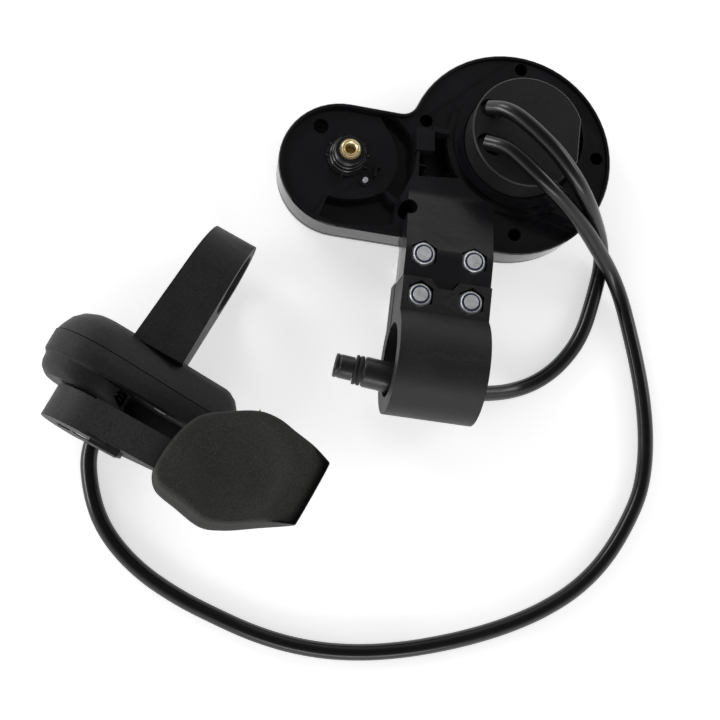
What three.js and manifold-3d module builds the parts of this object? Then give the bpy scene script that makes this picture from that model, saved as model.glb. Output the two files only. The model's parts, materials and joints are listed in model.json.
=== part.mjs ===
// Handlebar display unit with an integral bar clamp, a separate thumb
// throttle and the two cables of the set.  Units are millimetres, +Z is up.
// The display lies on its lens, the clamp ring and the throttle lie beside it.
import * as THREE from 'three';
import { mergeVertices } from 'three/addons/utils/BufferGeometryUtils.js';
import Module from 'manifold-3d';

const wasm = await Module();
wasm.setup();

// ---------------------------------------------------------------- dimensions
const ORIGIN = [55.1, 53.906, 0]; // big lobe centre from the bottom centre of the set's bounding box
const BIG_R = 37.2;              // radius of the big display lobe
const SMALL = [-58.6, -14.4];    // centre of the small lobe from the big one
const SMALL_R = 22.6;
const FILLET = [-40.5, 13.63];   // centre of the concave fillet between the lobes
const FILLET_R = 5.53;
const TOP_Y = 8.15;              // straight upper edge between the lobes
const BODY_H = 16.0;             // thickness of the display body
const PANEL_Z = 15.0;            // rear panel, one millimetre under the rim
const SPLIT_Z = 4.0;             // bezel to rear housing split
const BOX_C = [2.45, 3.5];       // round cable box
const BOX_R = 19.9;
const BOX_TOP = 29.5;
const PED_R = 26.1;              // pedestal round the cable box
const BOSS = [-57.4, -10.5];     // mounting boss in the bay
const BAY_Z = 13.8;              // bay floor round the boss
const CHANNEL_Z = 9.4;           // deeper channel round the bay floor
const PLATE_Z = 19.5;            // plateau round the window
const CABLE_D = 5.5;
const HOLE_U = [-12.06, 9.51];
const HOLE_L = [-11.93, -3.01];
const LEAN_U = [0.955, -0.297];   // directions in which the cables lean out of the box
const LEAN_L = [0.932, -0.362];

const BAR_Y = -81.1;             // handlebar axis of the display clamp
const BAR_Z = 18.5;
const RING_R = 18.5;
const RING_BORE = 12.75;
const CLAMP_X0 = -35.4;
const CLAMP_X1 = -5.0;
const BLOCK_Z = 29.0;
const ARM_Z = 27.6;
const JOINT_Y = -53.7;
const NUTS = [[-29.1, -45.3], [-11.7, -45.3], [-29.1, -59.9], [-11.7, -59.9]];

const THR_POS = [-101.22, -111.14];            // throttle frame from the big lobe centre
const THR_TURN = -21.3 * Math.PI / 180;
const PIVOT = [-24.5, 20.5];                   // lever pivot, x and z in the throttle frame
const HUB_R = 14.3;
const EGG_A = [-32.9, 16.5, 16.5];             // pod outline: big end x, z, radius
const EGG_B = [7.0, 11.0, 9.5];                // pod outline: tail end x, z, radius
const THR_BORE = [49.0, 15.0, 11.2];           // throttle ring: y, z, bore radius
const THR_RING_R = 14.8;
const DISH = [22.9, -6.6, 16.5, 3.0];          // thumb dish: x, y, radius, depth
const PAD_Z = 37.0;

// ---------------------------------------------------------------- helpers
function solid(geometry) {
  let g = geometry.clone();
  g.deleteAttribute('normal');
  g.deleteAttribute('uv');
  g = mergeVertices(g, 1e-4);
  return new wasm.Manifold(new wasm.Mesh({
    numProp: 3,
    vertProperties: new Float32Array(g.attributes.position.array),
    triVerts: new Uint32Array(g.index.array),
  }));
}
function geometryOf(man) {
  const m = man.getMesh();
  const g = new THREE.BufferGeometry();
  g.setAttribute('position', new THREE.BufferAttribute(new Float32Array(m.vertProperties), 3));
  g.setIndex(new THREE.BufferAttribute(new Uint32Array(m.triVerts), 1));
  return g;
}
const V2 = (p) => new THREE.Vector2(p[0], p[1]);
function flat(points, depth, holes = []) {
  const s = new THREE.Shape(points.map(V2));
  for (const h of holes) s.holes.push(new THREE.Path(h.map(V2)));
  return new THREE.ExtrudeGeometry(s, { depth, bevelEnabled: false, steps: 1 });
}
// extrusion from z0 to z1 of a contour in x,y
function extZ(points, z0, z1, holes = []) {
  return solid(flat(points, z1 - z0, holes).translate(0, 0, z0));
}
// extrusion from x0 to x1 of a contour in y,z
function extX(points, x0, x1, holes = []) {
  const g = flat(points, x1 - x0, holes);
  g.applyMatrix4(new THREE.Matrix4().set(0, 0, 1, x0, 1, 0, 0, 0, 0, 1, 0, 0, 0, 0, 0, 1));
  return solid(g);
}
// extrusion from y0 to y1 of a contour in x,z
function extY(points, y0, y1, holes = []) {
  const g = flat(points, y1 - y0, holes);
  g.applyMatrix4(new THREE.Matrix4().set(1, 0, 0, 0, 0, 0, -1, y1, 0, 1, 0, 0, 0, 0, 0, 1));
  return solid(g);
}
function circle(cx, cy, r, n = 32, a0 = 0) {
  const out = [];
  for (let i = 0; i < n; i++) {
    const a = a0 + (i / n) * Math.PI * 2;
    out.push([cx + r * Math.cos(a), cy + r * Math.sin(a)]);
  }
  return out;
}
const hexagon = (cx, cy, af) => circle(cx, cy, af / 2 / Math.cos(Math.PI / 6), 6, Math.PI / 2);
const rect = (x0, y0, x1, y1) => [[x0, y0], [x1, y0], [x1, y1], [x0, y1]];
function arc(cx, cy, r, a0, a1, n) {
  const out = [];
  for (let i = 0; i <= n; i++) {
    const a = a0 + ((a1 - a0) * i) / n;
    out.push([cx + r * Math.cos(a), cy + r * Math.sin(a)]);
  }
  return out;
}
// convex outline round a set of points
function hull2(points) {
  const p = points.slice().sort((a, b) => a[0] - b[0] || a[1] - b[1]);
  const turn = (o, a, b) => (a[0] - o[0]) * (b[1] - o[1]) - (a[1] - o[1]) * (b[0] - o[0]);
  const half = (list) => {
    const h = [];
    for (const q of list) {
      while (h.length > 1 && turn(h[h.length - 2], h[h.length - 1], q) <= 1e-9) h.pop();
      h.push(q);
    }
    h.pop();
    return h;
  };
  return [...half(p), ...half(p.reverse())];
}
const cylZ = (c, r, z0, z1, n = 32) => extZ(circle(c[0], c[1], r, n), z0, z1);
const cylY = (c, r, y0, y1, n = 32) => extY(circle(c[0], c[1], r, n), y0, y1);
const cylX = (c, r, x0, x1, n = 32) => extX(circle(c[0], c[1], r, n), x0, x1);
const add = (a, ...rest) => rest.reduce((m, x) => m.add(x), a);
const cut = (a, ...rest) => rest.reduce((m, x) => m.subtract(x), a);

// closed loft through rings of equal point count
function loft(rings) {
  const n = rings[0].length;
  const pos = [];
  for (const r of rings) for (const p of r) pos.push(p[0], p[1], p[2]);
  const centre = (r) => r.reduce((s, p) => [s[0] + p[0] / n, s[1] + p[1] / n, s[2] + p[2] / n], [0, 0, 0]);
  const c0 = centre(rings[0]);
  const c1 = centre(rings[rings.length - 1]);
  const i0 = pos.length / 3;
  pos.push(...c0, ...c1);
  const idx = [];
  for (let k = 0; k + 1 < rings.length; k++) {
    for (let i = 0; i < n; i++) {
      const j = (i + 1) % n;
      const a = k * n + i, b = k * n + j, c = (k + 1) * n + j, d = (k + 1) * n + i;
      idx.push(a, b, c, a, c, d);
    }
  }
  const last = (rings.length - 1) * n;
  for (let i = 0; i < n; i++) {
    const j = (i + 1) % n;
    idx.push(i0, j, i);
    idx.push(i0 + 1, last + i, last + j);
  }
  const g = new THREE.BufferGeometry();
  g.setAttribute('position', new THREE.Float32BufferAttribute(pos, 3));
  g.setIndex(idx);
  return solid(g);
}
// tube along a smooth curve through the points
function tube(points, radius, steps, sides) {
  const curve = new THREE.CatmullRomCurve3(points.map((p) => new THREE.Vector3(...p)), false, 'centripetal');
  const s = new THREE.Shape(circle(0, 0, radius, sides).map(V2));
  return solid(new THREE.ExtrudeGeometry(s, { steps, extrudePath: curve, bevelEnabled: false }));
}

const group = new THREE.Group();
const body = new THREE.Group();
const throttle = new THREE.Group();
group.add(body);
body.add(throttle);
throttle.position.set(THR_POS[0], THR_POS[1], 0);
throttle.rotation.z = THR_TURN;

const MATERIALS = {
  gloss: [0x101113, 0.25, 0.0], matte: [0x1c1d1f, 0.6, 0.0], throttle: [0x2b2c2e, 0.62, 0.0],
  rubber: [0x2a2a2b, 0.8, 0.0], cable: [0x121214, 0.42, 0.0], steel: [0xc9ccd0, 0.28, 1.0],
  nylon: [0x39415c, 0.5, 0.0], brass: [0xd9a83b, 0.3, 1.0], board: [0x1f5a35, 0.5, 0.1],
  glass: [0x0a0c10, 0.08, 0.0], lcd: [0x39443f, 0.3, 0.0], dark: [0x0c0c0d, 0.55, 0.0],
};
function piece(parent, name, man, finish) {
  const [color, roughness, metalness] = MATERIALS[finish];
  const mesh = new THREE.Mesh(geometryOf(man), new THREE.MeshStandardMaterial({ color, roughness, metalness, flatShading: true }));
  mesh.name = name;
  parent.add(mesh);
  return mesh;
}

// ---------------------------------------------------------------- display outline
function outline(inset) {
  const rb = BIG_R - inset, rs = SMALL_R - inset, rf = FILLET_R + inset;
  const dx = -SMALL[0], dy = -SMALL[1];
  const len = Math.hypot(dx, dy);
  // lower common tangent of the two lobes
  const phi = Math.atan2(dy, dx) + Math.acos((BIG_R - SMALL_R) / len);   // direction of the inward normal
  const nb = phi + Math.PI;
  const aF = Math.atan2(FILLET[1], FILLET[0]);
  const a0 = nb > Math.PI ? nb - 2 * Math.PI : nb;
  const pts = [];
  pts.push(...arc(0, 0, rb, a0, aF, 44));
  pts.push(...arc(FILLET[0], FILLET[1], rf, aF - Math.PI, -Math.PI / 2, 5).slice(1));
  pts.push(...arc(SMALL[0], SMALL[1], rs, Math.PI / 2, a0 + 2 * Math.PI, 26));
  return pts;
}

// ---------------------------------------------------------------- front bezel, lens and inner pieces
const up = (pts, z) => pts.map((p) => [p[0], p[1], z]);
const SCREWS = [[1.3, 32.8], [32.0, 4.0], [4.4, -29.3], [-31.2, 7.2], [-34.9, -27.6], [-67.9, -1.0]];
const BUTTONS = [[SMALL[0], SMALL[1] + 8.2], [SMALL[0], SMALL[1] - 8.2]];
{
  let b = loft([up(outline(3.2), 0), up(outline(1.6), 0.45), up(outline(0.85), 1.3), up(outline(0.5), 2.5), up(outline(0.45), SPLIT_Z)]);
  b = cut(b, cylZ([0, 0], 32.0, -1, 2.1, 56), cylZ([0, 0], 27.5, -1, 5, 48));
  for (const c of BUTTONS) b = cut(b, cylZ(c, 5.9, -1, 5, 28), cylZ(c, 7.1, 2.6, 5, 28));
  for (const c of SCREWS) b = cut(b, cylZ(c, 1.4, 2.4, 5, 14));
  piece(body, 'front_bezel', b, 'gloss');
}
piece(body, 'lcd_lens', cylZ([0, 0], 31.7, 0.4, 1.9, 56), 'glass');
piece(body, 'lcd_panel', cylZ([0, 0], 27.1, 2.2, 4.6, 40), 'lcd');
const towers = (m) => cut(m, ...SCREWS.map((c) => cylZ(c, 3.7, 4, 8, 18)));
piece(body, 'main_board', towers(extZ(circle(0, 0, 31.0, 48), 5.2, 6.6, [circle(-20, -8, 2.0, 12), circle(20, 8, 2.0, 12)])), 'board');
piece(body, 'button_board', towers(extZ(circle(SMALL[0], SMALL[1], 15.5, 28), 5.7, 6.6)), 'board');
for (const [i, c] of BUTTONS.entries()) {
  const id = i === 0 ? 'power' : 'mode';
  piece(body, `button_${id}`, add(cylZ(c, 5.6, 0.6, 2.9, 28), cylZ(c, 6.7, 2.85, 3.7, 28)), 'matte');
  piece(body, `switch_${id}`, add(extZ(rect(c[0] - 2.6, c[1] - 2.6, c[0] + 2.6, c[1] + 2.6), 5.0, 5.6), cylZ(c, 1.5, 4.65, 5.05, 14)), 'steel');
}
piece(body, 'housing_seal', extZ(outline(0.9), SPLIT_Z + 0.05, SPLIT_Z + 0.55, [outline(1.9)]), 'rubber');

// ---------------------------------------------------------------- rear housing with bay, plateau, pedestal and arm
{
  let h = loft([up(outline(0.45), SPLIT_Z + 0.6), up(outline(0), BODY_H - 1.5), up(outline(0), BODY_H - 0.5), up(outline(0.35), BODY_H)]);
  h = cut(h, extZ(outline(1.25), PANEL_Z, BODY_H + 1));
  h = cut(h, extZ(outline(2.3), SPLIT_Z, 7.0), cylZ([0, 0], 34.4, SPLIT_Z, 13.0, 48));
  // bay floor round the boss, one step under the rear panel
  const floorEdge = [[-42.83, -20.82], [-40.3, -14.9], [-39.6, -11.8], [-39.74, -8.74], [-40.3, -5.6], [-41.28, -2.64], [-44.29, 1.72], [-48.2, 7.0]];
  const floorLow = [[-66.1, -32.6], [-62.42, -25.65], [-59.3, -26.05], [-56.05, -26.03], [-52.9, -25.5], [-49.86, -24.6], [-46.2, -23.1]];
  const lobe = arc(SMALL[0], SMALL[1], SMALL_R - 1.25, Math.PI / 2 + 0.02, Math.PI * 1.5 - 0.40, 24);
  h = cut(h, extZ([...lobe, ...floorLow, ...floorEdge, [-48.2, TOP_Y - 1.3]], BAY_Z, BODY_H + 1));
  // channel between the bay floor and the plateau, and the one under the bay floor
  const gutter = [...floorEdge.map((q) => [q[0] - 0.02, q[1]]), [-42.6, 6.6], [-39.4, 4.2], [-36.7, 1.4], [-34.6, -2.6], [-34.0, -6.65], [-34.2, -13.4], [-36.6, -20.4], [-38.2, -23.4]];
  h = cut(h, extZ(gutter.reverse(), CHANNEL_Z, BODY_H + 1));
  const lower = [...floorLow.slice(1), [-43.2, -21.5], [-40.3, -24.4], [-38.7, -24.9], [-38.4, -32.6], [-44.0, -34.3], [-52.0, -35.0], [-58.6, -35.6], [-64.9, -33.6]];
  h = cut(h, extZ(lower.reverse(), CHANNEL_Z, BODY_H + 1));
  // stepped boss
  h = add(h, cylZ(BOSS, 7.1, BAY_Z - 0.5, 15.2, 28), cylZ(BOSS, 6.2, 15, 16.6, 26), cylZ(BOSS, 5.5, 16.4, 18.0, 26), cylZ(BOSS, 4.9, 17.8, 20.8, 26));
  h = cut(h, cylZ(BOSS, 3.95, 12.6, 24, 24));
  // hooked rib and pin seat in the bay
  h = add(h, extZ(rect(-47.6, -16.6, -46.7, -12.4), BAY_Z - 0.5, 15.6), extZ(rect(-47.6, -13.3, -45.2, -12.4), BAY_Z - 0.5, 15.6));
  h = add(h, cut(cylZ([-50.3, -18.4], 2.0, BAY_Z - 0.5, 14.5, 16)));
  h = cut(h, cylZ([-50.3, -18.4], 1.3, 11.4, 18, 14));
  // pedestal of the cable box with a free standing wall beside its flat
  h = add(h, cylZ(BOX_C, PED_R, 14.5, 16.8, 52), cylZ(BOX_C, 23.6, 16.5, 17.9, 52));
  h = cut(h, cylZ(BOX_C, 20.35, 15.2, 19, 52));
  h = add(h, extZ([...arc(BOX_C[0], BOX_C[1], 21.4, -0.63, 0.42, 10), ...arc(BOX_C[0], BOX_C[1], 20.5, 0.42, -0.63, 10)], 15.0, 26.4));
  // plateau: low part under the arm, tab and bar round the window, thin wall beside the channel
  const rim = arc(BOX_C[0], BOX_C[1], PED_R + 0.25, -1.845, -2.43, 8);
  const plateau = [[-35.4, -36.9], [-4.6, -36.9], ...rim, [-32.5, -15.4], [-33.1, -6.4], [-33.9, -6.4], [-34.1, -13.4], [-36.4, -20.4], [-37.9, -24.3], [-35.4, -30.4]];
  h = add(h, extZ(plateau, 14.5, PLATE_Z));
  h = add(h, extZ([[-34.2, -5.8], [-27.7, -5.1], [-28.6, 2.7], [-35.0, 2.6]], 14.2, 19.2), extZ([[-28.9, 2.0], [-22.9, 1.9], [-22.7, 3.7], [-28.9, 3.9]], 14.2, 19.0));
  // arm: extruded side profile
  const arm = [[-19.0, 16.0], [-19.0, 19.2], [-22.5, 20.0], [-26, 21.2], [-41.4, 26.6], [-43.2, 27.3], [-45.5, ARM_Z], [JOINT_Y, ARM_Z],
    [JOINT_Y, 13.2], [-41.0, 13.2], [-38.6, 10.5], [-36.8, 8.6], [-30, 8.6], [-30, 15.2], [-24, 15.2]].reverse();
  const clear = cylZ(BOX_C, PED_R + 0.25, 16.9, 30, 52);
  h = add(h, cut(extX(arm, CLAMP_X0, CLAMP_X1 - 0.2), clear));
  const tongue = [[-25.6, JOINT_Y + 1], [-25.6, JOINT_Y], [-23.2, -56.6], [-18.7, -56.6], [-16.6, JOINT_Y], [-16.6, JOINT_Y + 1]];
  h = add(h, extZ(tongue, 15.5, ARM_Z));
  // window beside the pedestal
  const win = [[-32.5, -15.2], [-32.9, -5.9], [-27.5, -5.3], [-28.3, 1.9], ...arc(BOX_C[0], BOX_C[1], PED_R + 0.25, -3.08, -2.45, 8)];
  h = cut(h, extZ(win.slice().reverse(), 7.6, 30));
  h = add(h, extZ(rect(-33.0, -10.6, -29.6, -9.9), 12.6, 17.0), extZ(rect(-33.4, -11.6, -28.8, -8.8), 12.6, 13.4));
  // nut pockets and bolt holes in the arm
  for (const c of NUTS.slice(0, 2)) h = cut(h, extZ(hexagon(c[0], c[1], 8.7), 22.4, 30), cylZ(c, 2.75, 5, 30, 16));
  // screw towers, seats and through holes
  for (const [i, c] of SCREWS.entries()) {
    const seat = i === 5 ? 11.2 : 10.4;
    const top = i < 4 ? 13.5 : 7.5;
    h = add(h, cylZ(c, 3.3, SPLIT_Z + 0.6, top, 18));
    h = cut(h, cylZ(c, i === 4 ? 2.9 : i === 5 ? 2.7 : 2.35, seat, i === 4 ? 31 : 22, 20), cylZ(c, 1.5, 3, 14, 14));
  }
  piece(body, 'rear_housing', h, 'gloss');
}
for (const [i, c] of SCREWS.entries()) {
  const seat = i === 5 ? 11.2 : 10.4;
  let s = add(cylZ(c, 2.1, seat, seat + 1.5, 16), cylZ(c, 1.15, 2.7, seat + 0.2, 12));
  s = cut(s, extZ(rect(c[0] - 1.2, c[1] - 0.3, c[0] + 1.2, c[1] + 0.3), seat + 0.8, seat + 3), extZ(rect(c[0] - 0.3, c[1] - 1.2, c[0] + 0.3, c[1] + 1.2), seat + 0.8, seat + 3));
  piece(body, `housing_screw_${i + 1}`, s, 'dark');
}
{
  let ins = add(cylZ(BOSS, 3.75, 12.8, 21.6, 24), cylZ(BOSS, 3.3, 21.5, 22.2, 24));
  ins = cut(ins, cylZ(BOSS, 1.9, 14, 23, 18));
  piece(body, 'brass_insert', ins, 'brass');
}
piece(body, 'bay_pin', cylZ([-50.3, -18.4], 0.95, 11.5, 15.7, 14), 'steel');

// ---------------------------------------------------------------- round cable box
{
  const chord = 18.3;
  const a = Math.acos(chord / BOX_R);
  const round = (r) => arc(BOX_C[0], BOX_C[1], r, a, Math.PI * 2 - a, 46);
  // slots that let the cables out on a slant
  const slot = (c, d, run, r) => hull2([...circle(c[0] - 0.3 * d[0], c[1] - 0.3 * d[1], r, 18), ...circle(c[0] + run * d[0], c[1] + run * d[1], r, 18)]);
  let b = loft([up(round(BOX_R), 15.3), up(round(BOX_R), BOX_TOP - 0.5), up(round(BOX_R - 0.45), BOX_TOP)]);
  b = cut(b, extZ(round(BOX_R - 2.0), 15, 27.4));
  b = cut(b, extZ(slot(HOLE_U, LEAN_U, 1.8, 3.2), 20, 31), extZ(slot(HOLE_L, LEAN_L, 3.0, 3.2), 20, 31));
  piece(body, 'cable_box', b, 'matte');
  piece(body, 'grommet_upper', extZ(slot(HOLE_U, LEAN_U, 1.8, 3.05), 24.0, 27.0), 'rubber');
  piece(body, 'grommet_lower', extZ(slot(HOLE_L, LEAN_L, 3.0, 3.05), 24.0, 27.0), 'rubber');
}

// ---------------------------------------------------------------- handlebar clamp
{
  const ring = circle(BAR_Y, BAR_Z, RING_R, 56);
  let c = extX(ring, CLAMP_X0, CLAMP_X1);
  c = add(c, extX(rect(-72, 14.0, JOINT_Y - 0.35, BLOCK_Z), CLAMP_X0, CLAMP_X1));
  c = add(c, extX(rect(-70, 5.0, -52.5, 12.5), CLAMP_X0, CLAMP_X1));
  c = add(c, extX(rect(-56, 5.0, -41.0, 12.5), -32.6, -8.2));
  c = cut(c, cylX([BAR_Y, BAR_Z], RING_BORE, CLAMP_X0 - 1, CLAMP_X1 + 1, 44));
  c = cut(c, extX(rect(-71.5, 12.5, -50, 14.0), CLAMP_X0 - 1, CLAMP_X1 + 1));
  const notch = [[-26.0, JOINT_Y + 1], [-26.0, JOINT_Y - 0.3], [-23.5, -57.0], [-18.4, -57.0], [-16.2, JOINT_Y - 0.3], [-16.2, JOINT_Y + 1]];
  c = cut(c, extZ(notch, 13.5, 31));
  for (const [i, n] of NUTS.entries()) {
    if (i > 1) c = cut(c, extZ(hexagon(n[0], n[1], 8.7), 23.8, 31));
    c = cut(c, cylZ(n, 2.75, 2, 31, 16));
  }
  piece(body, 'handlebar_clamp', c, 'matte');
}
for (const [i, n] of NUTS.entries()) {
  const z0 = i < 2 ? 22.5 : 23.9;
  const disc = (r, z) => up(circle(n[0], n[1], r, 24), z);
  const hex = extZ(hexagon(n[0], n[1], 8.0), z0, z0 + 3.7).intersect(loft([disc(5.0, z0 - 0.1), disc(4.75, z0 + 3.0), disc(3.9, z0 + 3.9)]));
  let nut = add(hex, loft([disc(3.9, z0 + 3.5), disc(3.9, z0 + 4.2), disc(3.75, z0 + 4.6), disc(3.4, z0 + 4.95), disc(3.25, z0 + 5.0)]));
  nut = cut(nut, cylZ(n, 2.6, z0 - 1, z0 + 6, 20), cylZ(n, 3.2, z0 + 3.4, z0 + 6, 20));
  piece(body, `clamp_nut_${i + 1}`, nut, 'steel');
  piece(body, `nylon_ring_${i + 1}`, extZ(circle(n[0], n[1], 3.15, 20), z0 + 3.45, z0 + 4.7, [circle(n[0], n[1], 2.6, 20)]), 'nylon');
  let bolt = add(cylZ(n, 2.45, 4.5, z0 + 5.4, 18), cylZ(n, 4.2, 0.8, 4.9, 24));
  bolt = cut(bolt, extZ(hexagon(n[0], n[1], 4.0), 0, 3.2));
  piece(body, `clamp_bolt_${i + 1}`, bolt, 'steel');
}

// ---------------------------------------------------------------- connector of the main cable
const CON_A = [-20.0, -87.85, 15.3];     // cable end of the connector
const CON_B = [-53.0, -84.4, 13.2];      // nose tip
{
  const dir = new THREE.Vector3(CON_B[0] - CON_A[0], CON_B[1] - CON_A[1], CON_B[2] - CON_A[2]);
  const t = dir.length();
  const quat = new THREE.Quaternion().setFromUnitVectors(new THREE.Vector3(0, 1, 0), dir.clone().normalize());
  const turned = (profile, n = 28) => {
    const g = new THREE.LatheGeometry(profile.map(V2), n);
    g.applyQuaternion(quat).translate(...CON_A);
    return solid(g);
  };
  // strain relief with grooves and moulded grip
  piece(body, 'connector_body', turned([[0, 0.3], [3.3, 0.3], [3.6, 1.8], [3.1, 2.1], [3.1, 2.8], [3.9, 3.1], [4.1, 4.6], [3.5, 4.9], [3.5, 5.6], [4.6, 5.9], [5.0, 8.0], [5.25, 9.4], [5.25, 22.6], [4.95, 23.3], [0, 23.3]]), 'rubber');
  piece(body, 'connector_ring', turned([[0, 23.6], [4.9, 23.6], [5.1, 23.9], [5.1, 24.7], [4.75, 24.9], [4.75, 25.3], [5.1, 25.5], [5.1, 26.2], [4.9, 26.4], [0, 26.4]]), 'rubber');
  piece(body, 'connector_nose', turned([[0, 26.7], [4.1, 26.7], [4.1, t - 2.0], [3.95, t - 1.8], [3.95, t - 1.2], [4.15, t - 1.0], [4.15, t - 0.4], [3.85, t], [3.1, t], [3.1, t - 5.0], [0, t - 5.0]]), 'rubber');
}

// ---------------------------------------------------------------- cables
const MAIN = [[-12.06, 9.51, 29.5], [-8.53, 8.38, 33.12], [-5.96, 7.08, 34.92], [-3.08, 5.17, 36.23], [0.77, 2.19, 37.23], [5.27, -1.32, 37.65],
  [9.8, -4.82, 37.33], [13.95, -8.25, 36.31], [17.73, -11.46, 34.65], [20.99, -14.13, 32.53], [24.04, -16.39, 29.75],
  [27.0, -18.25, 26.21], [30.63, -20.19, 20.87], [34.68, -22.43, 14.35], [37.16, -24.38, 10.19], [38.7, -26.34, 7.49],
  [39.72, -28.6, 5.56], [40.3, -31.57, 4.1], [40.3, -34.88, 3.3], [39.63, -39.78, 2.93], [38.2, -47.64, 2.81], [36.49, -54.94, 2.8],
  [34.45, -60.56, 2.8], [31.87, -65.4, 2.8], [28.43, -70.29, 2.8], [24.71, -74.31, 2.8], [20.67, -77.62, 2.89], [16.46, -80.24, 3.32],
  [12.52, -82.13, 4.21], [7.97, -83.93, 6.02], [1.69, -85.81, 9.09], [-5.14, -87.35, 12.39], [-9.68, -88.09, 14.24],
  [-13.53, -88.28, 15.09], [-19.22, -87.95, 15.33]];
const FEED = [[-11.93, -3.01, 29.5], [-6.03, -5.35, 33.25], [-1.34, -8.65, 34.64], [4.85, -13.22, 34.59], [10.64, -16.7, 33.0],
  [17.44, -19.88, 29.13], [26.9, -24.76, 22.12], [34.81, -29.94, 15.64], [41.42, -34.53, 9.77], [45.8, -39.15, 6.42],
  [49.45, -44.94, 4.2], [52.94, -53.38, 3.07], [56.88, -65.5, 2.78], [60.03, -77.85, 2.79], [62.04, -90.43, 2.8], [62.47, -102.4, 2.8],
  [61.26, -112.3, 2.8], [57.98, -121.98, 2.8], [52.51, -133.2, 2.8], [46.37, -142.0, 2.8], [38.86, -149.65, 2.8], [29.18, -156.72, 2.8],
  [18.01, -162.84, 2.8], [6.29, -167.83, 2.8], [-5.79, -171.92, 2.8], [-18.11, -175.18, 2.8], [-30.66, -177.36, 2.8],
  [-43.37, -178.17, 2.8], [-56.08, -177.35, 2.8], [-68.58, -174.92, 2.8], [-80.77, -171.2, 2.8], [-92.74, -166.83, 2.8],
  [-104.18, -161.23, 2.8], [-112.76, -155.23, 2.8], [-119.63, -148.35, 2.79], [-124.08, -141.45, 2.8], [-127.58, -132.39, 2.87],
  [-128.96, -125.08, 3.3], [-128.33, -118.99, 3.9], [-124.72, -110.0, 4.2]];
piece(body, 'main_cable', tube(MAIN, CABLE_D / 2, 30, 8), 'cable');
piece(body, 'throttle_cable', tube(FEED, CABLE_D / 2, 48, 8), 'cable');

// ---------------------------------------------------------------- throttle pod
// egg shaped contour in x,z with its two end circles shrunk by i
function egg(i, n = 40) {
  const ax = EGG_A[0], az = EGG_A[1], ra = Math.max(EGG_A[2] - i, 1.5);
  const bx = EGG_B[0], bz = EGG_B[1], rb = Math.max(EGG_B[2] - i * 0.8, 1.2);
  const dx = ax - bx, dz = az - bz;
  const base = Math.atan2(dz, dx);
  const half = Math.acos((rb - ra) / Math.hypot(dx, dz));
  const na = Math.round(n * 0.6), nb = n - na;
  return [...arc(ax, az, ra, base - half, base + half, na - 1), ...arc(bx, bz, rb, base + half, base + 2 * Math.PI - half, nb - 1)];
}
const atY = (pts, y) => pts.map((p) => [p[0], y, p[1]]);
const eggLoft = (levels) => loft(levels.map(([y, i]) => atY(egg(i), y)));
const GLAND = [-22.3, 4.2];
const SHELL_SCREWS = [[9.2, 11.0], [-7.0, 21.6], [-7.0, 5.4]];
{
  // upper half, with the clamp band
  const skin = eggLoft([[17.5, 11.5], [17.1, 8.6], [15.4, 5.2], [12.6, 2.5], [9.0, 0.9], [6.95, 0.3]]);
  let u = cut(skin, eggLoft([[14.4, 6.6], [12.2, 4.6], [9.0, 2.8], [6.0, 2.4]]));
  for (const c of SHELL_SCREWS) u = add(u, cylY(c, 2.7, 6.95, 15.6, 16).intersect(skin));
  let band = extX(hull2([...circle(THR_BORE[0], THR_BORE[1], THR_RING_R, 48), [15.6, 4.5], [15.6, 25.5]]), -30, 0);
  band = cut(band, cylX([THR_BORE[0], THR_BORE[1]], THR_BORE[2], -31, 1, 40));
  const taper = [[-26.2, 14], [-7.9, 14], [-6.8, 66], [-21.2, 66]];
  const trap = extZ(taper, -5, 40);
  band = band.intersect(trap);
  band = cut(band, cylZ([-14.2, THR_BORE[0]], 2.1, -1, 8, 16));
  u = add(u, band);
  for (const c of SHELL_SCREWS) u = cut(u, cylY(c, 1.45, 5, 12.5, 12));
  piece(throttle, 'throttle_upper_shell', u, 'throttle');
}
{
  let l = eggLoft([[6.65, 0], [2.5, 0], [-0.2, 0.1], [-1.0, 0.9]]);
  l = add(l, loft([[-0.6, -32.8, 16.5, 16.2], [-1.5, -33.0, 16.4, 15.3], [-4.0, -33.0, 16.5, 15.0], [-5.8, -32.3, 16.8, 14.9], [-7.0, -31.5, 17.2, 14.3], [-7.8, -31.0, 17.4, 13.6]].map(([y, cx, cz, r]) => atY(circle(cx, cz, r, 36), y))));
  l = add(l, extZ([[-24, -0.5], [-24, -6.6], [1.0, -6.6], [3.0, -4.6], [3.0, -0.5]], 2.4, 12.5));
  l = cut(l, eggLoft([[8, 2.4], [1.2, 2.4]]));
  for (const c of SHELL_SCREWS) l = add(l, cylY(c, 3.0, 0.5, 6.65, 16));
  l = cut(l, cylY(PIVOT, 6.3, -9, -1.2, 32), cylY(PIVOT, 4.5, -9, 9, 24));
  l = cut(l, cylY(GLAND, 3.5, -9, 4, 24));
  for (const c of SHELL_SCREWS) l = cut(l, cylY(c, 1.6, -3, 8, 12), cylY(c, 2.7, -3, 0.8, 18));
  piece(throttle, 'throttle_lower_shell', l, 'throttle');
}
for (const [i, c] of SHELL_SCREWS.entries()) {
  let s = add(cylY(c, 2.4, -0.9, 0.5, 16), cylY(c, 1.15, 0.3, 11.5, 12));
  s = cut(s, extY(rect(c[0] - 1.4, c[1] - 0.35, c[0] + 1.4, c[1] + 0.35), -3, -0.3), extY(rect(c[0] - 0.35, c[1] - 1.4, c[0] + 0.35, c[1] + 1.4), -3, -0.3));
  piece(throttle, `shell_screw_${i + 1}`, s, 'steel');
}
piece(throttle, 'set_screw', cut(cylZ([-14.2, THR_BORE[0]], 1.8, 0.7, 3.7, 16), extZ(hexagon(-14.2, THR_BORE[0], 2.0), 0, 2.4)), 'steel');
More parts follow.
